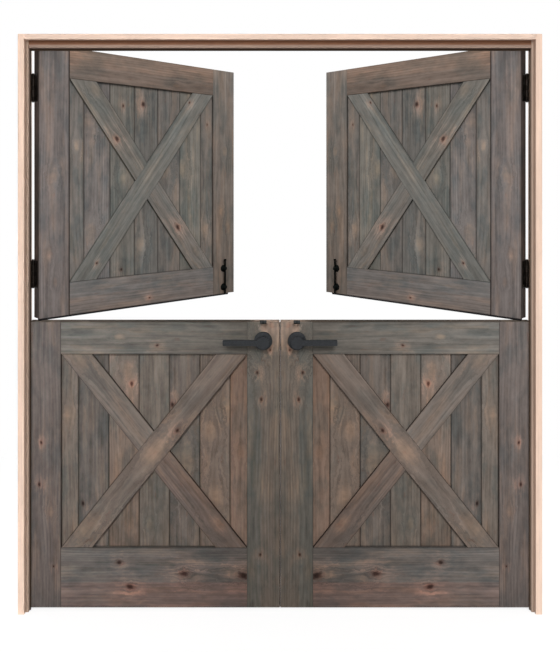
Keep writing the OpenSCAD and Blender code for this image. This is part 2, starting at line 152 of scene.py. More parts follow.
# one knot: where it bends the grain, its dark heart, red ring and pale halo
# a spot holds the place along and across the grain and the radius, below zero for a pale figure
# pairs say how many radii out a mark begins to fade and where it ends
knot = {
    "squash": 0.55,          # pale figures stretch along the grain
    "knotSquash": 0.72,      # knots stretch less
    "ragged": 1.8,
    "raggedNoise": ((50.0, 90.0, 90.0), 4.0, 0.6),
    "heart": (0.30, 1.35),
    "ring": (0.70, 2.40),
    "halo": (1.0, 7.5),
    "figure": (0.2, 1.7),
    "bleach": (0.5, 1.7),
    "bleachFrom": 0.04,      # pale figures of this radius and more are bleached patches
    "leastRadius": 0.0005,   # smaller spots are left out
    "safeRadius": 0.0002,    # keeps the reach finite
    "bend": 0.8,
    "bendReach": (0.3, 3.6),
}
knotMarks = ("Heart", "Ring", "Halo", "Figure", "Bleach")


def makeKnotGroup():
    outputs = {label: "Float" for label in ("Bend", *knotMarks)}
    group, given, out = newGroup("knot", {"Grain": "Vector", "Spot": "Vector"}, outputs)
    place, spot = split(group, given["Grain"]), split(group, given["Spot"])
    radius = calc(group, "MAXIMUM", calc(group, "ABSOLUTE", spot[2]), knot["safeRadius"])
    there = calc(group, "GREATER_THAN", radius, knot["leastRadius"])
    dark = calc(group, "GREATER_THAN", spot[2], knot["leastRadius"])
    soft = calc(group, "SUBTRACT", there, dark)
    wide = calc(group, "MULTIPLY", soft, calc(group, "GREATER_THAN", radius, knot["bleachFrom"]))
    soft = calc(group, "SUBTRACT", soft, wide)
    squash = calc(group, "MULTIPLY_ADD", dark, knot["knotSquash"] - knot["squash"], knot["squash"])
    du = calc(group, "MULTIPLY", calc(group, "SUBTRACT", place[0], spot[0]), squash)
    dv = calc(group, "SUBTRACT", place[1], spot[1])
    reach = calc(group, "DIVIDE", diagonal(group, du, dv), radius)
    wobble = evenNoise(group, given["Grain"], *knot["raggedNoise"])
    reach = calc(group, "MULTIPLY_ADD", wobble, calc(group, "MULTIPLY", reach, knot["ragged"]), reach)
    push = calc(group, "MULTIPLY", ease(group, reach, *knot["bendReach"], knot["bend"], 0.0), there)
    feed(group, out["Bend"], calc(group, "MULTIPLY", calc(group, "MULTIPLY", dv, -1.0), push))
    for label, kind in zip(knotMarks, (dark, dark, dark, soft, wide)):
        mask = ease(group, reach, *knot[label.lower()], 1.0, 0.0)
        feed(group, out[label], calc(group, "MULTIPLY", mask, kind))
    return group


# stained or bare timber: streaks, growth rings, stain clouds, warm streaks, knots and painted shade along the
# edges
timber = {
    # noises: stretch along, across and into the plank, detail, roughness and offset
    "fine": ((5.0, 170.0, 170.0), 3.0, 0.6),
    "broad": ((1.8, 36.0, 36.0), 3.0),
    "mottle": ((17.0, 42.0, 42.0), 6.0, 0.68, (1.0, 6.0, 2.0)),
    "wander": ((1.3, 6.0, 6.0), 2.0),
    "cloud": ((7.0, 15.0, 15.0), 5.0, 0.62, (7.0, 3.0, 5.0)),
    "warm": ((4.0, 24.0, 24.0), 5.0, 0.62, (2.0, 9.0, 4.0)),
    "fleck": ((16.0, 60.0, 60.0), 3.0, 0.6, (5.0, 1.0, 8.0)),
    "pore": ((60.0, 700.0, 700.0), 1.0),
    # noise levels where these begin and where they are full
    "cloudFrom": (-0.06, 0.16),
    "warmFrom": (-0.02, 0.20),
    "fleckFrom": (0.13, 0.24),
    "poreFrom": (0.12, 0.24),
    # growth rings, in metres
    "wanderBy": 0.045,                     # how far the rings stray
    "pithDepth": 0.045,
    "pithAside": 0.05,
    "lateSharp": 2.2,                      # late wood is a narrow part of each ring
    "lateFade": (-0.25, 0.2, 0.25, 1.0),   # rings show more in some streaks than in others
    # shading by streaks and pores
    "fineShade": 0.85,
    "broadShade": 1.1,
    "poreShade": -0.10,
    # how pale figures, halos and bleached patches break up
    "fineInPatches": 0.8,
    "patchy": (-0.26, 0.26, 0.35, 0.95),
    "streaky": (-0.22, 0.26, 0.05, 0.95),
    "fineInLines": 1.6,
    "lines": (-0.3, 0.25, 0.35, 1.0),
    "ringStrength": 0.75,
    # what each mark multiplies the colour by
    "cloudRatio": (0.66, 0.77, 0.82),
    "warmRatio": (1.62, 1.36, 1.16),
    "fleckRatio": (0.92, 0.62, 0.55),
    "figureRatio": (1.52, 1.32, 1.15),
    "bleachRatio": (2.2, 1.9, 1.75),
    "haloRatio": (1.75, 1.42, 1.28),
    "ringRatio": (0.88, 0.68, 0.63),
    "heartRatio": (0.30, 0.27, 0.28),
    "edgeRatio": (0.16, 0.15, 0.15),
    # glue lines, with the head stop's painted shadow line, and the painted shade along edges and ends, in
    # metres
    "lineBlur": 0.008,
    "edgeFrom": 0.0003,
    "endReach": (0.0004, 0.0045),
    # roughness and bump
    "rough": 0.60,
    "roughFine": 0.30,
    "roughHeart": -0.12,
    "lateHeight": -0.45,
    "poreHeight": -0.5,
    "ringHeight": 0.5,
    "bumpDepth": 0.0006,
}
knotNames = ("knot1", "knot2", "knot3", "knot4", "knot5", "knot6")
timberDials = (
    "Streaks", "Mottle", "Rings", "Ring width", "Clouds", "Warmth", "Flecks",
    "Edge stain", "Far edge stain", "Edge width", "End stain", "Clear middle", "Ragged glue",
)


def makeTimberGroup(knotGroup):
    inputs = {"Grain": "Vector", "Seed": "Vector", "Tone": "Color", "Tone beyond": "Color", "Half": "Vector"}
    inputs.update({name: "Vector" for name in knotNames})
    inputs.update({label: "Float" for label in timberDials})
    outputs = {"Colour": "Color", "Roughness": "Float", "Height": "Float"}
    group, given, out = newGroup("timber", inputs, outputs)
    spots = [placeGroup(group, knotGroup, {"Grain": given["Grain"], "Spot": given[n]}) for n in knotNames]
    masks = {mark: largest(group, [spot[mark] for spot in spots]) for mark in knotMarks}
    bend = spots[0]["Bend"]
    for spot in spots[1:]:
        bend = calc(group, "ADD", bend, spot["Bend"])
    bent = along(group, "ADD", given["Grain"], put(group, "CombineXYZ", {"Y": bend}).outputs[0])
    place = along(group, "ADD", bent, given["Seed"])
    fine, broad, mottle, wander = (
        evenNoise(group, place, *timber[name]) for name in ("fine", "broad", "mottle", "wander"))
    cloud, warm, fleck, pores = (
        ease(group, evenNoise(group, place, *timber[name]), *timber[name + "From"])
        for name in ("cloud", "warm", "fleck", "pore"))
    # growth rings: distance from a pith below the face, straying along the length
    here = split(group, bent)
    seedParts = split(group, given["Seed"])
    off = calc(group, "MULTIPLY", calc(group, "SINE", seedParts[0]), timber["pithAside"])
    side = calc(group, "ADD", here[1], off)
    deep = calc(group, "ADD", here[2], timber["pithDepth"])
    ring = calc(group, "MULTIPLY_ADD", wander, timber["wanderBy"], diagonal(group, side, deep))
    ring = calc(group, "DIVIDE", calc(group, "MULTIPLY", ring, 2 * math.pi), given["Ring width"])
    wave = calc(group, "MULTIPLY_ADD", calc(group, "SINE", ring), 0.5, 0.5)
    late = calc(group, "POWER", wave, timber["lateSharp"])
    late = calc(group, "MULTIPLY", late, ease(group, broad, *timber["lateFade"]))
    # the tone, split where two planks are glued edge to edge; on the head stop the same split paints a dark
    # shadow band under the head
    whole = split(group, given["Grain"])
    half = split(group, given["Half"])
    past = calc(group, "SUBTRACT", whole[1], half[2])
    past = calc(group, "MULTIPLY_ADD", mottle, given["Ragged glue"], past)
    pastLine = ease(group, past, -timber["lineBlur"] / 2, timber["lineBlur"] / 2)
    colour = blendColour(group, pastLine, given["Tone"], given["Tone beyond"])
    # streaks, rings and pores, then the stain's own marks
    streaks = given["Streaks"]
    shade = calc(group, "MULTIPLY_ADD", fine, calc(group, "MULTIPLY", streaks, timber["fineShade"]), 1.0)
    shade = calc(group, "MULTIPLY_ADD", broad, calc(group, "MULTIPLY", streaks, timber["broadShade"]), shade)
    shade = calc(group, "MULTIPLY_ADD", mottle, given["Mottle"], shade)
    shade = calc(group, "MULTIPLY_ADD", late, calc(group, "MULTIPLY", given["Rings"], -1.0), shade)
    shade = calc(group, "MULTIPLY_ADD", pores, timber["poreShade"], shade)
    colour = blendColour(group, 1.0, colour, grey(group, shade), "MULTIPLY")
    stainMarks = ((cloud, "Clouds", "cloud"), (warm, "Warmth", "warm"), (fleck, "Flecks", "fleck"))
    for mark, dial, kind in stainMarks:
        colour = tint(group, calc(group, "MULTIPLY", mark, given[dial]), colour, timber[kind + "Ratio"])
    # pale figures, bleached patches and halos break up into streaks
    uneven = calc(group, "ADD", calc(group, "MULTIPLY_ADD", fine, timber["fineInPatches"], broad), mottle)
    lined = calc(group, "MULTIPLY_ADD", fine, timber["fineInLines"], mottle)
    amounts = {
        "Figure": ease(group, uneven, *timber["patchy"]),
        "Bleach": ease(group, lined, *timber["lines"]),
        "Halo": ease(group, uneven, *timber["streaky"]),
        "Ring": timber["ringStrength"],
    }
    for mark, amount in amounts.items():
        mask = calc(group, "MULTIPLY", masks[mark], amount)
        colour = tint(group, mask, colour, timber[mark.lower() + "Ratio"])
    colour = tint(group, masks["Heart"], colour, timber["heartRatio"])
    # painted shade along the edges, and in the corners where boards meet the rails, where the stiles, rails
    # and braces throw shade
    beside = calc(group, "SUBTRACT", half[1], calc(group, "ABSOLUTE", whole[1]))
    ahead = calc(group, "SUBTRACT", half[0], calc(group, "ABSOLUTE", whole[0]))
    far = calc(group, "GREATER_THAN", whole[1], 0.0)
    more = calc(group, "SUBTRACT", given["Far edge stain"], given["Edge stain"])
    stain = calc(group, "MULTIPLY_ADD", far, more, given["Edge stain"])
    near = ease(group, beside, timber["edgeFrom"], given["Edge width"], 1.0, 0.0)
    apart = calc(group, "GREATER_THAN", calc(group, "ABSOLUTE", whole[0]), given["Clear middle"])
    edge = calc(group, "MULTIPLY", calc(group, "MULTIPLY", near, stain), apart)
    end = calc(group, "MULTIPLY", ease(group, ahead, *timber["endReach"], 1.0, 0.0), given["End stain"])
    colour = tint(group, calc(group, "MAXIMUM", edge, end), colour, timber["edgeRatio"])
    feed(group, out["Colour"], colour)
    worn = calc(group, "MULTIPLY_ADD", fine, timber["roughFine"], timber["rough"])
    feed(group, out["Roughness"], calc(group, "MULTIPLY_ADD", masks["Heart"], timber["roughHeart"], worn))
    height = calc(group, "MULTIPLY_ADD", late, timber["lateHeight"], fine)
    height = calc(group, "MULTIPLY_ADD", pores, timber["poreHeight"], height)
    feed(group, out["Height"], calc(group, "MULTIPLY_ADD", masks["Ring"], timber["ringHeight"], height))
    return group


# another tone of metal along edges, in patches: lighter where the hinges, bolts and steel are worn; on the
# lever coat it is darker, painted shade on the rounded rims
wearAndShadeEdges = {
    "samples": 4,
    "turn": (0.99, 0.86),    # how far the softened edge turns away, as cosines
    "spots": ((420.0, 420.0, 420.0), 3.0, 0.6),
    "full": 0.62,
    "dials": {"Width": 0.0012, "Patchy": 0.40},
}


def makeEdgeWearAndShadeGroup():
    group, given, out = newGroup("rubbed edges", {"Width": "Float", "Patchy": "Float"}, {"Mask": "Float"})
    soft = put(group, "Bevel", {"Radius": given["Width"]}, samples=wearAndShadeEdges["samples"]).outputs[0]
    sharp = put(group, "NewGeometry").outputs["Normal"]
    turn = put(group, "VectorMath", operation="DOT_PRODUCT")
    feed(group, turn.inputs[0], soft)
    feed(group, turn.inputs[1], sharp)
    edge = ease(group, turn.outputs["Value"], *wearAndShadeEdges["turn"])
    spots = noise(group, put(group, "TexCoord").outputs["Object"], *wearAndShadeEdges["spots"])
    patches = ease(group, spots, given["Patchy"], wearAndShadeEdges["full"])
    feed(group, out["Mask"], calc(group, "MULTIPLY", edge, patches))
    return group


# the skin of cast, coated or rubbery things: fine grain, broad mottling and a bump
skin = {
    "grainDetail": 2.0, "patchDetail": 3.0, "grainShare": 0.45, "patchShare": 0.55,
    "speckle": (0.30, 0.70), "patchHeight": 0.4,
}


def makeSkinGroup():
    inputs = {"Fine": "Float", "Broad": "Float", "Tone": "Color", "Spread": "Float"}
    group, given, out = newGroup("skin", inputs, {"Colour": "Color", "Speckle": "Float", "Height": "Float"})
    where = put(group, "TexCoord").outputs["Object"]

    def speckles(scale, detail):
        return put(group, "TexNoise", {"Vector": where, "Scale": scale, "Detail": detail}).outputs[0]

    grain = speckles(given["Fine"], skin["grainDetail"])
    patch = speckles(given["Broad"], skin["patchDetail"])
    fineShare = calc(group, "MULTIPLY", grain, skin["grainShare"])
    broadShare = calc(group, "MULTIPLY", patch, skin["patchShare"])
    speckle = ease(group, calc(group, "ADD", fineShare, broadShare), *skin["speckle"])
    level = calc(group, "MULTIPLY_ADD", calc(group, "SUBTRACT", speckle, 0.5), given["Spread"], 1.0)
    feed(group, out["Colour"], blendColour(group, 1.0, given["Tone"], grey(group, level), "MULTIPLY"))
    feed(group, out["Speckle"], speckle)
    feed(group, out["Height"], calc(group, "MULTIPLY_ADD", patch, skin["patchHeight"], grain))
    return group


knotGroup = makeKnotGroup()
timberGroup = makeTimberGroup(knotGroup)
edgeWearAndShadeGroup = makeEdgeWearAndShadeGroup()
skinGroup = makeSkinGroup()


def newMaterial(name, plain):
    material = bpy.data.materials.new(name)
    material.use_nodes = True
    tree = material.node_tree
    tree.nodes.clear()
    shader = put(tree, "BsdfPrincipled", plain)
    tree.links.new(shader.outputs[0], put(tree, "OutputMaterial").inputs[0])
    return material, tree, shader


def bumped(tree, shader, height, strength, distance):
    bump = put(tree, "Bump", {"Strength": strength, "Distance": distance, "Height": height})
    tree.links.new(bump.outputs[0], shader.inputs["Normal"])


def timberMaterial(name, look, gloss, bump):
    material, tree, shader = newMaterial(name, {"Specular IOR Level": gloss})
    sources = {"Grain": "grain", "Seed": "seed", "Half": "half", "Tone": "tone", "Tone beyond": "toneBeyond"}
    sources.update({spot: spot for spot in knotNames})
    inputs = {}
    for label, source in sources.items():
        kind = "Color" if label.startswith("Tone") else "Vector"
        inputs[label] = put(tree, "Attribute", attribute_name=source).outputs[kind]
    wood = placeGroup(tree, timberGroup, {**inputs, **look})
    tree.links.new(wood["Colour"], shader.inputs["Base Color"])
    tree.links.new(wood["Roughness"], shader.inputs["Roughness"])
    bumped(tree, shader, wood["Height"], bump, timber["bumpDepth"])
    return material


metal = {"roughSwing": (-0.07, 0.09), "edgeWearAndShadeRough": -0.12, "bump": 0.22, "bumpDepth": 0.0004}


def metalMaterial(name, tone, edgeWearAndShadeTone, dials, rough, metallic, gloss=0.5):
    material, tree, shader = newMaterial(name, {"Metallic": metallic, "Specular IOR Level": gloss})
    coat = placeGroup(tree, skinGroup, {**dials, "Tone": tone})
    edgeWearAndShade = placeGroup(tree, edgeWearAndShadeGroup, wearAndShadeEdges["dials"])
    colour = blendColour(tree, edgeWearAndShade["Mask"], coat["Colour"], edgeWearAndShadeTone)
    tree.links.new(colour, shader.inputs["Base Color"])
    level = ease(tree, coat["Speckle"], 0.0, 1.0, *(rough + swing for swing in metal["roughSwing"]))
    level = calc(tree, "MULTIPLY_ADD", edgeWearAndShade["Mask"], metal["edgeWearAndShadeRough"], level)
    tree.links.new(level, shader.inputs["Roughness"])
    bumped(tree, shader, coat["Height"], metal["bump"], metal["bumpDepth"])
    return material


rubber = {"gloss": 0.3, "roughSwing": (-0.08, 0.08), "bump": 0.3, "bumpDepth": 0.0003}


def rubberMaterial(name, tone, dials, rough):
    material, tree, shader = newMaterial(name, {"Specular IOR Level": rubber["gloss"]})
    coat = placeGroup(tree, skinGroup, {**dials, "Tone": tone})
    tree.links.new(coat["Colour"], shader.inputs["Base Color"])
    level = ease(tree, coat["Speckle"], 0.0, 1.0, *(rough + swing for swing in rubber["roughSwing"]))
    tree.links.new(level, shader.inputs["Roughness"])
    bumped(tree, shader, coat["Height"], rubber["bump"], rubber["bumpDepth"])
    return material


stainedLook = {
    "Streaks": 0.8, "Mottle": 0.75, "Rings": 0.2, "Ring width": 0.0085, "Clouds": 0.7, "Warmth": 0.5,
    "Flecks": 0.4, "Edge stain": 0.3, "Far edge stain": 0.3, "Edge width": 0.0024, "End stain": 0.0,
    "Clear middle": 0.0, "Ragged glue": 0.02,
}
# the boards' end shade under the rails and the braces' edge shade are painted shade
boardLook = {
    **stainedLook, "Mottle": 0.85, "Clouds": 0.85, "Warmth": 0.55,
    "Edge stain": 0.35, "Far edge stain": 0.35, "End stain": 0.6,
}
braceLook = {**stainedLook, "Clouds": 0.55, "Edge stain": 0.7, "Far edge stain": 0.7}
crossLook = {**braceLook, "Clear middle": 0.07}
# the open upper leaves show the near sides of their braces, so their painted edge shade is weak on the near
# side and strong on the far side
upperLook = {"Edge stain": 0.2, "Far edge stain": 0.95}
# the upper hinge stiles have a wide painted shadow along their panel side
upperStileLook = {**stainedLook, "Far edge stain": 1.0, "Edge width": 0.007}
bareLook = {
    "Streaks": 0.36, "Mottle": 0.2, "Rings": 0.08, "Ring width": 0.006, "Clouds": 0.08, "Warmth": 0.04,
    "Flecks": 0.06, "Edge stain": 0.0, "Far edge stain": 0.0, "Edge width": 0.0024, "End stain": 0.0,
    "Clear middle": 0.0, "Ragged glue": 0.0,
}
stained = {"gloss": 0.0, "bump": 0.4}
bare = {"gloss": 0.1, "bump": 0.25}
materials = {
    "frame_wood": timberMaterial("barePine", bareLook, **bare),
    "leaf_wood": timberMaterial("stainedAlder", stainedLook, **stained),
    "board_wood": timberMaterial("stainedBoards", boardLook, **stained),
    "brace_wood": timberMaterial("stainedBraces", braceLook, **stained),
    "weatherstrip": rubberMaterial(
        "foamStrip", seen(68, 52, 39), {"Fine": 2200.0, "Broad": 160.0, "Spread": 0.4}, rough=0.8),
    # the seals under the upper leaves are real rubber seals whose near-black tone also stands in for the
    # leaves' shaded undersides: painted shade
    "seal_rubber": rubberMaterial(
        "blackRubber", seen(17, 14, 15), {"Fine": 1600.0, "Broad": 90.0, "Spread": 0.5}, rough=0.65),
    "hinge_metal": metalMaterial(
        "oiledBronze", seen(52, 45, 40), seen(120, 98, 80),
        {"Fine": 900.0, "Broad": 70.0, "Spread": 0.5}, rough=0.42, metallic=0.8),
    "bolt_iron": metalMaterial(
        "blackIron", seen(16, 19, 18), seen(50, 55, 53),
        {"Fine": 500.0, "Broad": 120.0, "Spread": 0.6}, rough=0.85, metallic=0.0, gloss=0.03),
    # the lever coat's darker edge tone is painted shade on its rounded rims
    "lever_metal": metalMaterial(
        "charcoalCoat", seen(36, 38, 41), seen(22, 23, 25),
        {"Fine": 1500.0, "Broad": 190.0, "Spread": 0.9}, rough=0.55, metallic=0.0, gloss=0.25),
    "lock_steel": metalMaterial(
        "satinSteel", seen(150, 148, 143), seen(196, 194, 190),
        {"Fine": 700.0, "Broad": 50.0, "Spread": 0.25}, rough=0.34, metallic=0.95),
}
# members with a look of their own
memberLooks = {
    "upper_hinge_stile": timberMaterial("stainedHingeStiles", upperStileLook, **stained),
    "upper_long_braces": timberMaterial("stainedUpperCrossBraces", {**crossLook, **upperLook}, **stained),
    "upper_half_braces": timberMaterial("stainedUpperBraces", {**braceLook, **upperLook}, **stained),
    "lower_long_braces": timberMaterial("stainedCrossBraces", crossLook, **stained),
}
print("materials made:", len(materials) + len(memberLooks))

# where a leaf stands: sizes in metres, repeated from the part's source
leafFit = {
    "axis": (-0.917, 0.0824),      # hinge pin of the left leaves
    "corner": (-0.9155, 0.0315),   # hinge edge and front face of a closed left leaf
    "floor": {"upper": 1.052, "lower": 0.006},
    "open": {"upper": math.radians(43), "lower": 0.0},
    "core": 0.022,                 # front braces lie before this depth, back ones behind it
}


def mirrored(side):
    return Matrix.Scale(-1 if side == "right" else 1, 4, (1, 0, 0))


def leafPlace(level, side):
    # from a left leaf lying along x, front at y = 0, to where that leaf stands in the frame
    x, y = leafFit["corner"]
    ax, ay = leafFit["axis"]
    closed = Matrix.Translation((x, y, leafFit["floor"][level]))
    turn = Matrix.Translation((ax, ay, 0)) @ Matrix.Rotation(leafFit["open"][level], 4, "Z")
    return mirrored(side) @ turn @ Matrix.Translation((-ax, -ay, 0)) @ closed


# how solids are welded and which edges are rounded, in metres and degrees
easing = {
    "weld": 0.00002, "flat": 0.4, "sharp": 60, "segments": 2,
    "shortest": 0.012, "shortestFitting": 0.004,
}


def copySolid(node):
    # a welded copy of a solid's mesh with its flat faces made whole
    bm = bmesh.new()
    bm.from_mesh(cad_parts[node].data)
    bmesh.ops.remove_doubles(bm, verts=bm.verts, dist=easing["weld"])
    bmesh.ops.dissolve_limit(bm, angle_limit=math.radians(easing["flat"]), verts=bm.verts, edges=bm.edges)
    return bm


def easeEdges(bm, width, shortest=easing["shortest"]):
    # rounds the long edges over
    picked = [
        e for e in bm.edges
        if len(e.link_faces) == 2 and e.calc_length() > shortest
        and e.calc_face_angle(0) > math.radians(easing["sharp"]) and e.is_convex
    ]
    if picked:
        bmesh.ops.bevel(
            bm, geom=picked, offset=width, segments=easing["segments"], profile=0.5,
            affect="EDGES", clamp_overlap=True)


def islandsOf(bm):
    left, found = set(bm.verts), []
    while left:
        stack = [left.pop()]
        island = list(stack)
        while stack:
            for edge in stack.pop().link_edges:
                for v in edge.verts:
                    if v in left:
                        left.remove(v)
                        stack.append(v)
                        island.append(v)
        found.append(island)
    return found


pieces = []


def finishPiece(bm, name, body, slotName, nodes=(), smooth=25, material=None):
    mesh = bpy.data.meshes.new(name)
    bmesh.ops.recalc_face_normals(bm, faces=bm.faces)
    bm.to_mesh(mesh)
    bm.free()
    for polygon in mesh.polygons:
        polygon.use_smooth = True
    mesh.set_sharp_from_angle(angle=math.radians(smooth))
    mesh.materials.append(material or materials[slotName])
    piece = bpy.data.objects.new(name, mesh)
    scene.collection.objects.link(piece)
    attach(piece, body)
    if nodes:
        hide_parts(*nodes)
    pieces.append(piece)


def plankLayers(bm):
    names = ("grain", "seed", "tone", "toneBeyond", "half") + knotNames
    return {name: bm.verts.layers.float_vector.new(name) for name in names}


# how planks are read off their solids, in metres
plankFit = {
    "steep": 5,             # planks this close to upright or level count as such
    "faceDepth": 0.0003,    # how deep the front face reaches
    "topDepth": 0.0001,     # and the top
    "seedReach": 40,        # how far apart planks may lie in the noise
    "noGlue": 9.0,          # a glue line far off the plank
}


def onFace(x, z):
    # a point on the face of a leaf or of the frame, given in mm
    return Vector((x, 0, z)) / 1000


def dressPlank(island, layers, toLeaf, plank, seed, window=None):
    # gives one plank its grain coordinates, tone and knots; the longest edge says which way the grain runs
    # a board behind a window, given by two corners as x and z in mm, counts only what shows there
    local = {v: toLeaf @ v.co for v in island}
    edges = {e for v in island for e in v.link_edges}
    longest = max(edges, key=lambda e: round((local[e.verts[0]] - local[e.verts[1]]).length, 5))
    run = local[longest.verts[1]] - local[longest.verts[0]]
    if abs(run.x) > abs(run.z) * plankFit["steep"]:
        run = Vector((1, 0, 0))
    elif abs(run.z) > abs(run.x) * plankFit["steep"]:
        run = Vector((0, 0, 1))
    else:
        run = Vector((run.x, 0, run.z)).normalized()
        run = -run if run.z < 0 else run
    across = Vector((run.z, 0, -run.x)) if run.z > 0.5 else Vector((0, 0, 1))
    spans = {v: (p.dot(run), p.dot(across), p.y) for v, p in local.items()}
    front = min(s[2] for s in spans.values())
    face = [s for s in spans.values() if s[2] < front + plankFit["faceDepth"]]
    low = [min(s[i] for s in face) for i in range(2)]
    high = [max(s[i] for s in face) for i in range(2)]
    if window:
        corners = [onFace(*corner) for corner in window]
        for i, way in enumerate((run, across)):
            low[i] = max(low[i], min(c.dot(way) for c in corners))
            high[i] = min(high[i], max(c.dot(way) for c in corners))
    middle = [(low[0] + high[0]) / 2, (low[1] + high[1]) / 2, front]
    pick = random.Random(seed)
    seedVector = Vector([pick.uniform(0, plankFit["seedReach"]) for i in range(3)])
    glue = plank.get("glue")
    glue = plankFit["noGlue"] if glue is None else onFace(*glue).dot(across) - middle[1]
    half = Vector(((high[0] - low[0]) / 2, (high[1] - low[1]) / 2, glue))
    spots = []
    for x, z, radius in plank.get("knots", ()):
        p = onFace(x, z)
        spots.append(Vector((p.dot(run) - middle[0], p.dot(across) - middle[1], radius / 1000)))
    spots += [Vector((0, 0, 0))] * (len(knotNames) - len(spots))
    top = max(p.z for p in local.values()) - plankFit["topDepth"]
    ends = [min(s[0] for s in spans.values()), max(s[0] for s in spans.values())]
    first, last = plank.get("fade", (0, 0))

    def faded(kind, s):
        levels = first + (last - first) * (s[0] - ends[0]) / (ends[1] - ends[0])
        return Vector(seen(*(c + levels for c in plank.get(kind, plank["tone"])))[:3])

    for v, s in spans.items():
        v[layers["grain"]] = Vector([a - b for a, b in zip(s, middle)])
        v[layers["seed"]] = seedVector
        # the tops take a darker tone of their own: painted shade
        v[layers["tone"]] = faded("topTone" if local[v].z > top else "tone", s)
        v[layers["toneBeyond"]] = faded("beyond", s)
        v[layers["half"]] = half
        for name, spot in zip(knotNames, spots):
            v[layers[name]] = spot


# the planks of each leaf: tones as seen, knots as (x, z, radius) in mm from the hinge edge and the foot
# the glue and shade line is a point on the line where a second plank, of the tone beyond, is glued on; on the
# head stop it bounds a painted shadow band, of the tone beyond, under the head
# fade is how much lighter a plank is at its left or lower end and at its other end
# the lower leaves' darker top tones are painted shade on the tops of the leaves
leafPlanks = {
    "upper": {
        "hinge_stile": [{"tone": (122, 114, 111), "knots": [(55, 526, -12), (37, 230, -9), (60, 130, -8)]}],
        "meeting_stile": [{
            "tone": (119, 110, 103), "fade": (-12, 6),
            "knots": [(860, 645, -10), (837, 375, -9), (880, 300, -12)],
        }],
        "top_rail": [{
            "tone": (118, 104, 95), "fade": (8, 0), "glue": (0, 950), "beyond": (130, 111, 99),
            "knots": [(600, 915, -8)],
        }],
        "bottom_rail": [
            {"tone": (123, 114, 109), "glue": (0, 62), "beyond": (117, 112, 109), "knots": [(466, 24, 3)]}],
        "panel_boards": [
            {"tone": (119, 113, 108), "knots": [(150, 640, -10)]},
            {"tone": (120, 114, 111), "knots": [(208, 301, -18), (196, 743, -18)]},
            {"tone": (115, 111, 105), "knots": [(350, 810, 4), (341, 152, 5), (350, 520, -14)]},
            {"tone": (113, 110, 106), "fade": (0, -5), "knots": [(443, 824, 8), (430, 250, -16)]},
            {"tone": (116, 110, 105), "knots": [(545, 560, -22)]},
            {"tone": (121, 117, 110), "knots": [(640, 560, -16)]},
            {"tone": (121, 114, 108), "knots": [(770, 760, 3), (760, 300, -14)]},
        ],
        "long_braces": [{"tone": (119, 117, 112), "knots": [(229, 186, 4), (668, 850, 4)]}],
        "half_braces": [
            {"tone": (122, 116, 110), "knots": [(606, 311, 9), (700, 200, -12)]},
            {"tone": (120, 116, 110), "knots": [(316, 675, 9), (224, 860, -14)]},
        ],
    },
    "lower": {
        "hinge_stile": [{
            "tone": (109, 100, 96), "topTone": (104, 95, 87), "fade": (-6, 8),
            "knots": [(47, 600, 4), (40, 447, 5), (80, 346, -8), (92, 150, 3)],
        }],
        "meeting_stile": [{
            "tone": (93, 89, 83), "glue": (846, 0), "beyond": (101, 92, 84), "topTone": (96, 87, 79),
            "fade": (-8, 9),
            "knots": [(833, 854, 5), (847, 756, 5), (880, 936, 3), (890, 1046, -50), (843, 192, 4)],
        }],
        "top_rail": [{
            "tone": (115, 110, 104), "topTone": (104, 95, 87), "fade": (10, -14),
            "knots": [(469, 953, 4), (330, 985, -9)],
        }],
        "bottom_rail": [{
            "tone": (110, 94, 88), "glue": (0, 92), "beyond": (99, 93, 89), "fade": (11, -10),
            "knots": [
                (567, 123, 11), (782, 116, 12), (331, 163, 7), (371, 76, 9),
                (735, 122, -11), (615, 104, -13),
            ],
        }],
        "panel_boards": [
            {"tone": (120, 110, 102), "fade": (-6, 5), "knots": [(140, 700, -14)]},
            {"tone": (106, 99, 94), "knots": [(196, 374, 5)]},
            {"tone": (136, 121, 111), "fade": (-28, 4), "knots": [(374, 811, 6), (360, 860, -16)]},
            {"tone": (114, 105, 97), "fade": (-8, 7), "knots": [(440, 300, -10)]},
            {"tone": (109, 101, 95), "fade": (-8, 0), "knots": [(523, 734, 7), (566, 530, -38)]},
            {
                "tone": (115, 102, 93), "fade": (-5, 1),
                "knots": [(680, 392, -26), (660, 640, -20), (720, 720, -20)],
            },
            {"tone": (123, 103, 91), "knots": [(770, 560, -12)]},
        ],
        "long_braces": [{"tone": (117, 105, 97), "knots": [(542, 643, 6), (460, 570, -30), (215, 300, -26)]}],
        "half_braces": [
            {"tone": (106, 93, 86), "fade": (-9, 4), "knots": [(691, 302, -18)]},
            {"tone": (121, 111, 104), "knots": [(189, 898, -18)]},
        ],
    },
}
memberSlots = {
    "hinge_stile": "leaf_wood", "meeting_stile": "leaf_wood",
    "top_rail": "leaf_wood", "bottom_rail": "leaf_wood",
    "panel_boards": "board_wood", "long_braces": "brace_wood", "half_braces": "brace_wood",
}
# how far the edges of planks are rounded, in metres
plankRound = {"frame_wood": 0.0012, "leaf_wood": 0.0012, "board_wood": 0.0, "brace_wood": 0.0008}
shortestRound = {"half_braces": 0.2}    # the ends that butt against the long brace stay sharp
plankSeeds = {"upper": 1000, "lower": 0, "member": 50}
# the opening between stiles and rails: two corners as x and z in mm
leafWindow = {"upper": ((118.5, 123), (795.5, 894)), "lower": ((118.5, 217), (795.5, 921))}


def camel(name):
    first, *others = name.split("_")
    return first + "".join(word.capitalize() for word in others)


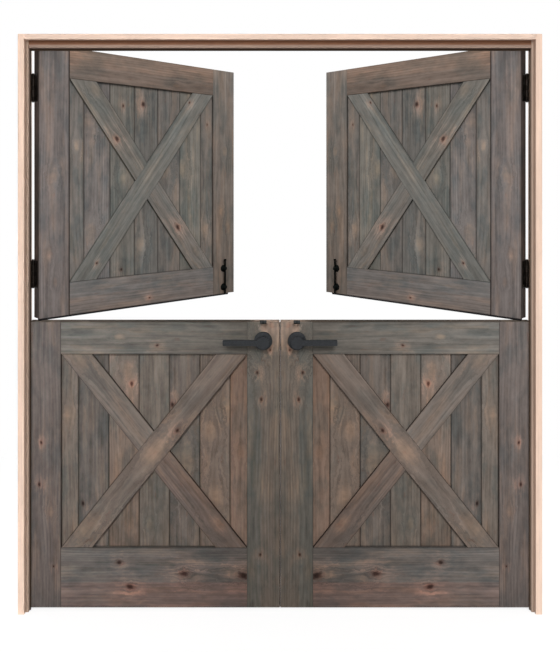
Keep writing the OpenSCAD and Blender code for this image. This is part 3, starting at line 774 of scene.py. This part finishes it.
def dressLeaf(level, side):
    toLeaf = leafPlace(level, side).inverted()
    for number, (member, planks) in enumerate(leafPlanks[level].items()):
        node = f"{level}_{side}_{member}"
        slotName = memberSlots[member]
        bm = copySolid(node)
        if plankRound[slotName]:
            easeEdges(bm, plankRound[slotName], shortestRound.get(member, easing["shortest"]))
        layers = plankLayers(bm)
        # front to back, then along the leaf, so that the lists above find their planks
        middles = []
        for island in islandsOf(bm):
            centre = sum((toLeaf @ v.co for v in island), Vector()) / len(island)
            front = 0 if centre.y < leafFit["core"] else 1
            key = centre.x if member == "panel_boards" else centre.z
            middles.append((front if "braces" in member else 0, round(key, 4), island))
        middles.sort(key=lambda m: m[:2])
        window = leafWindow[level] if member == "panel_boards" else None
        for index, (front, key, island) in enumerate(middles):
            seed = plankSeeds[level] + plankSeeds["member"] * number + index
            dressPlank(island, layers, toLeaf, planks[index % len(planks)], seed, window)
        look = memberLooks.get(f"{level}_{member}")
        finishPiece(bm, camel(node), f"{level}_{side}_leaf", slotName, [node], material=look)


for level in ("upper", "lower"):
    for side in ("left", "right"):
        dressLeaf(level, side)
print("leaves dressed")

# the frame: bare pine jambs and head, with the stops a little darker: painted shade where the jambs and head
# shade the stops
sideJamb = {"tone": (238, 208, 188), "fade": (9, 0), "seed": 3}
# the side stops' darker tone is painted shade from the jambs' reveals
shadedSideStop = {"tone": (176, 153, 137), "seed": 5}
framePlanks = {
    "left_jamb": sideJamb,
    "right_jamb": sideJamb,
    "head_jamb": {"tone": (236, 207, 188), "fade": (0, 8), "seed": 4},
    "left_stop": shadedSideStop,
    "right_stop": shadedSideStop,
    # the head stop's dark tone beyond its line is a painted shadow band, where the head shades the stop
    "head_stop": {"tone": (158, 134, 120), "glue": (0, 2048), "beyond": (126, 87, 64), "seed": 6},
}
for node, plank in framePlanks.items():
    bm = copySolid(node)
    easeEdges(bm, plankRound["frame_wood"])
    layers = plankLayers(bm)
    mirror = mirrored(node.split("_")[0])
    for island in islandsOf(bm):
        dressPlank(island, layers, mirror, plank, plank["seed"])
    finishPiece(bm, camel(node), "frame", "frame_wood", [node])
print("frame dressed")

# fittings carried over from the solids: body, slot and how far their edges are rounded
fittings = {
    "weatherstrips": ("frame", "weatherstrip", 0.0),
    "left_jamb_hinge_leaves": ("frame", "hinge_metal", 0.0004),
    "right_jamb_hinge_leaves": ("frame", "hinge_metal", 0.0004),
    "hinge_pins": ("frame", "hinge_metal", 0.0),
}
for side in ("left", "right"):
    fittings.update({
        f"upper_{side}_hinge_leaves": (f"upper_{side}_leaf", "hinge_metal", 0.0004),
        # the bottom seals' near-black also stands in for the shaded undersides of the upper leaves
        f"upper_{side}_bottom_seal": (f"upper_{side}_leaf", "seal_rubber", 0.0),
        f"upper_{side}_bolt_guides": (f"upper_{side}_leaf", "bolt_iron", 0.0),
        f"upper_{side}_bolt_rod": (f"upper_{side}_bolt", "bolt_iron", 0.0),
        f"lower_{side}_hinge_leaves": (f"lower_{side}_leaf", "hinge_metal", 0.0004),
        f"lower_{side}_bolt_keeper": (f"lower_{side}_leaf", "bolt_iron", 0.0005),
        f"lower_{side}_rosettes": (f"lower_{side}_leaf", "lever_metal", 0.0),
        f"lower_{side}_outside_lever": (f"lower_{side}_lever", "lever_metal", 0.0009),
        f"lower_{side}_inside_lever": (f"lower_{side}_lever", "lever_metal", 0.0009),
    })
fittings.update({
    "lower_left_strike_plate": ("lower_left_leaf", "lock_steel", 0.0004),
    "lower_left_floor_bolt": ("lower_left_floor_bolt", "lock_steel", 0.0),
    "lower_right_lock_case": ("lower_right_leaf", "lock_steel", 0.0004),
    "lower_right_lock_bolt": ("lower_right_lock_bolt", "lock_steel", 0.0),
})
for node, (body, slotName, width) in fittings.items():
    bm = copySolid(node)
    if width:
        easeEdges(bm, width, easing["shortestFitting"])
    finishPiece(bm, camel(node), body, slotName, [node], smooth=32)
print("fittings dressed:", len(fittings))

# foam strips on the left leaves' meeting edges close the gap between the leaves, toned like the wood
# sizes in mm in the leaf
meetingSeal = {
    "edge": 914.0, "thick": 2.8, "back": 10.5, "wide": 8.0, "steps": 8,
    "lengths": {"upper": (1, 1009), "lower": (1, 1037)},
}
tonedStrip = rubberMaterial(
    "tonedStrip", seen(125, 113, 105), {"Fine": 2200.0, "Broad": 160.0, "Spread": 0.2}, rough=0.8)


def meetingSealPiece(level):
    place = leafPlace(level, "left")
    bm = bmesh.new()
    rows = []
    for z in meetingSeal["lengths"][level]:
        row = []
        for step in range(meetingSeal["steps"] + 1):
            turn = math.pi * step / meetingSeal["steps"]
            x = meetingSeal["edge"] + meetingSeal["thick"] * math.sin(turn)
            y = meetingSeal["back"] - meetingSeal["wide"] * (1 + math.cos(turn)) / 2
            row.append(bm.verts.new(place @ (Vector((x, y, z)) / 1000)))
        rows.append(row)
        bm.faces.new(row)
    for i in range(len(row)):
        j = (i + 1) % len(row)
        bm.faces.new((rows[0][i], rows[0][j], rows[1][j], rows[1][i]))
    body = f"{level}_left_leaf"
    finishPiece(bm, camel(f"{level}_left_meeting_seal"), body, "weatherstrip", smooth=40, material=tonedStrip)


for level in ("upper", "lower"):
    meetingSealPiece(level)
print("meeting seals laid")

# cross-slot screw heads; places in mm in the closed left leaf or in the frame
screw = {
    "radius": 3.8, "crown": 0.80, "proud": 0.45, "sunk": 0.3, "round": 24,
    "slotArm": 0.55, "slotFloor": 0.06, "slotTaper": 0.85,
}
hingeScrews = {
    "inset": 160.0, "heights": (-38.0, -13.0, 13.0, 38.0), "jambFace": -918.5,
    "leafRows": (21.0, 34.0), "jambRows": (53.0, 66.0),
    "leafHeight": {"upper": 1010.0, "lower": 1038.0},
}
latchScrews = {
    "edge": 914.0, "middle": 22.25, "lever": 970.0, "spread": 21.0,
    "keeper": (854.0, 1038.0), "keeperRows": (9.0, 22.0),
}


def screwHead(bm, place, centre, normal, up):
    # a domed head with a cross cut into it, standing a little proud of its plate
    centre, normal, up = (Vector(v) for v in (centre, normal, up))
    side = up.cross(normal)

    def ring(points, height):
        spots = [centre + side * u + up * v + normal * height for u, v in points]
        return [bm.verts.new(place @ (spot / 1000)) for spot in spots]

    def circle(radius):
        turns = [2 * math.pi * (i - 1) / screw["round"] for i in range(screw["round"])]
        return [(radius * math.cos(t), radius * math.sin(t)) for t in turns]

    arm = screw["radius"] * screw["slotArm"]
    half = arm * math.tan(math.pi / 12)
    quarter = [(arm, -half), (arm, half), (half, half)]
    cross = []
    for turn in ((1, 0), (0, 1), (-1, 0), (0, -1)):
        cross += [(u * turn[0] - v * turn[1], u * turn[1] + v * turn[0]) for u, v in quarter]
    rim = ring(circle(screw["radius"]), -screw["sunk"])
    crown = ring(circle(screw["radius"] * screw["crown"]), screw["proud"])
    lip = ring(cross, screw["proud"])
    floor = ring([(screw["slotTaper"] * u, screw["slotTaper"] * v) for u, v in cross], screw["slotFloor"])
    for i in range(len(rim)):
        j = (i + 1) % len(rim)
        bm.faces.new((rim[i], rim[j], crown[j], crown[i]))
    for i in range(len(lip)):
        j = (i + 1) % len(lip)
        bm.faces.new((lip[i], crown[2 * i], crown[2 * i + 1]))
        bm.faces.new((lip[i], crown[2 * i + 1], crown[(2 * i + 2) % len(crown)], lip[j]))
        bm.faces.new((lip[i], lip[j], floor[j], floor[i]))
    bm.faces.new(floor)
    bm.faces.new(rim)


def screwPiece(name, place, body, slotName, heads):
    bm = bmesh.new()
    for centre, normal, up in heads:
        screwHead(bm, place, centre, normal, up)
    finishPiece(bm, name, body, slotName, smooth=30)


def hingeRows(tall, rows):
    # depths and heights of the screws in the two hinges of one leaf
    return [
        (row, middle + height)
        for middle in (hingeScrews["inset"], tall - hingeScrews["inset"])
        for height, row in zip(hingeScrews["heights"], rows * 2)
    ]


upright, inward, outward, edgeward = (0, 0, 1), (0, 1, 0), (-1, 0, 0), (1, 0, 0)
for level, tall in hingeScrews["leafHeight"].items():
    for side in ("left", "right"):
        name, body = camel(f"{level}_{side}_hinge_screws"), f"{level}_{side}_leaf"
        heads = [((0, y, z), outward, upright) for y, z in hingeRows(tall, hingeScrews["leafRows"])]
        screwPiece(name, leafPlace(level, side), body, "hinge_metal", heads)
for side in ("left", "right"):
    heads = [
        ((hingeScrews["jambFace"], y, 1000 * leafFit["floor"][level] + z), edgeward, upright)
        for level, tall in hingeScrews["leafHeight"].items()
        for y, z in hingeRows(tall, hingeScrews["jambRows"])
    ]
    screwPiece(camel(f"{side}_jamb_hinge_screws"), mirrored(side), "frame", "hinge_metal", heads)
    place, body = leafPlace("lower", side), f"lower_{side}_leaf"
    x, z = latchScrews["keeper"]
    heads = [((x, y, z), upright, inward) for y in latchScrews["keeperRows"]]
    screwPiece(camel(f"lower_{side}_keeper_screws"), place, body, "bolt_iron", heads)
    x, y = latchScrews["edge"], latchScrews["middle"]
    heights = [latchScrews["lever"] + sign * latchScrews["spread"] for sign in (-1, 1)]
    heads = [((x, y, z), edgeward, upright) for z in heights]
    screwPiece(camel(f"lower_{side}_latch_screws"), place, body, "lock_steel", heads)
print("screws driven")

# camera at the photograph's place: level, with the frame shifted down
cameraFit = {
    "eye": (0.0, -2.3685, 1.535), "focalPixels": 660.0, "frame": (560, 652), "horizon": 187.0,
    "sensor": 36.0, "clip": (0.05, 200.0),
}
camera = bpy.data.objects.new("camera", bpy.data.cameras.new("camera"))
scene.collection.objects.link(camera)
camera.location = cameraFit["eye"]
camera.rotation_euler = (math.radians(90), 0, 0)
longSide = max(cameraFit["frame"])
camera.data.sensor_width = cameraFit["sensor"]
camera.data.lens = cameraFit["focalPixels"] * cameraFit["sensor"] / longSide
camera.data.shift_y = (cameraFit["horizon"] - cameraFit["frame"][1] / 2) / longSide
camera.data.clip_start, camera.data.clip_end = cameraFit["clip"]
scene.camera = camera

# plain studio: soft key lamps for each half of the door from its own upper side, and one from behind
# the open upper leaves have key lamps of their own, turned as the leaves are
# the head and the weatherstrips throw no shadow from those
studio = {
    "keyFrom": (0.25, -1.0, 0.75), "keyPower": 2.1, "keyGloss": 1.0,
    "backFrom": (0.0, 1.0, 0.4), "backPower": 2.0, "backGloss": 0.1,
    "softness": 24.0,                   # how wide the lamps look from the door, in degrees
    "middle": 0.001,                    # pieces that lean less than this to the right count as left
    "skyStrength": 0.45, "floorSize": 60.0,
    "floorBox": (0.95, 0.45, 0.25),     # half width and half depth of the door's foot, and its middle in y
    "floorFade": (0.05, 0.9), "floorWhite": 0.5, "floorTone": 0.92, "floorBounce": 0.45,
}


def softLamp(name, comesFrom, power, gloss, lights, shadows=None):
    lamp = bpy.data.objects.new(name, bpy.data.lights.new(name, "SUN"))
    lamp.data.energy = power
    lamp.data.specular_factor = gloss
    lamp.data.angle = math.radians(studio["softness"])
    lamp.rotation_euler = Vector(comesFrom).to_track_quat("Z", "Y").to_euler()
    lamp.light_linking.receiver_collection = lights
    lamp.light_linking.blocker_collection = shadows
    scene.collection.objects.link(lamp)


def litGroup(name, objects):
    group = bpy.data.collections.new(name)
    for item in objects:
        group.objects.link(item)
    return group


def leansLeft(piece):
    points = piece.data.vertices
    return sum(v.co.x for v in points) < studio["middle"] * len(points)


def straightSight(tree):
    path = put(tree, "LightPath").outputs
    return largest(tree, [path["Is Camera Ray"], path["Is Glossy Ray"], path["Is Transmission Ray"]])


world = bpy.data.worlds.new("studio")
scene.world = world
world.use_nodes = True
sky = world.node_tree
sky.nodes.clear()
strength = calc(sky, "MULTIPLY_ADD", straightSight(sky), 1.0 - studio["skyStrength"], studio["skyStrength"])
background = put(sky, "Background", {"Color": (1, 1, 1, 1), "Strength": strength})
sky.links.new(background.outputs[0], put(sky, "OutputWorld").inputs[0])

# the floor is white away from the door, and near it keeps the shadow
floorMesh = bpy.data.meshes.new("floor")
reach = studio["floorSize"] / 2
corners = [(-reach, -reach, 0), (reach, -reach, 0), (reach, reach, 0), (-reach, reach, 0)]
floorMesh.from_pydata(corners, [], [(0, 1, 2, 3)])
floor = bpy.data.objects.new("floor", floorMesh)
scene.collection.objects.link(floor)
paleFloor = bpy.data.materials.new("paleFloor")
paleFloor.use_nodes = True
tree = paleFloor.node_tree
tree.nodes.clear()
where = split(tree, put(tree, "TexCoord").outputs["Object"])
halfWide, halfDeep, middleY = studio["floorBox"]
awayX = calc(tree, "MAXIMUM", calc(tree, "SUBTRACT", calc(tree, "ABSOLUTE", where[0]), halfWide), 0.0)
awayY = calc(tree, "ABSOLUTE", calc(tree, "SUBTRACT", where[1], middleY))
awayY = calc(tree, "MAXIMUM", calc(tree, "SUBTRACT", awayY, halfDeep), 0.0)
fade = ease(tree, diagonal(tree, awayX, awayY), *studio["floorFade"], studio["floorWhite"], 1.0)
sight = straightSight(tree)
brighter = studio["floorTone"] - studio["floorBounce"]
bounce = calc(tree, "MULTIPLY_ADD", sight, brighter, studio["floorBounce"])
matt = put(tree, "BsdfDiffuse", {"Color": grey(tree, bounce)})
glow = put(tree, "Emission", {"Color": (1, 1, 1, 1), "Strength": 1.0})
mixed = put(tree, "MixShader", {"Fac": calc(tree, "MULTIPLY", fade, sight)})
tree.links.new(matt.outputs[0], mixed.inputs[1])
tree.links.new(glow.outputs[0], mixed.inputs[2])
tree.links.new(mixed.outputs[0], put(tree, "OutputMaterial").inputs[0])
floorMesh.materials.append(paleFloor)

keyX, keyY, keyZ = studio["keyFrom"]
shadeless = ("head", "weatherstrips")
pastHead = litGroup("pastHead", [piece for piece in pieces if not piece.name.startswith(shadeless)])
for side, sign in (("left", -1), ("right", 1)):
    half = [piece for piece in pieces if leansLeft(piece) == (side == "left")]
    upper = [piece for piece in half if piece.name.startswith("upper")]
    others = [piece for piece in half if not piece.name.startswith("upper")] + [floor]
    way = Vector((sign * keyX, keyY, keyZ))
    softLamp(f"{side}Lamp", way, studio["keyPower"], studio["keyGloss"], litGroup(f"{side}Half", others))
    upperGroup = litGroup(f"{side}UpperLeaf", upper)
    way.rotate(Matrix.Rotation(-sign * leafFit["open"]["upper"], 3, "Z"))
    softLamp(f"{side}UpperLamp", way, studio["keyPower"], studio["keyGloss"], upperGroup, pastHead)
wholeDoor = litGroup("wholeDoor", pieces)
softLamp("backLamp", studio["backFrom"], studio["backPower"], studio["backGloss"], wholeDoor)
scene.view_settings.view_transform = "Standard"
print("studio set")
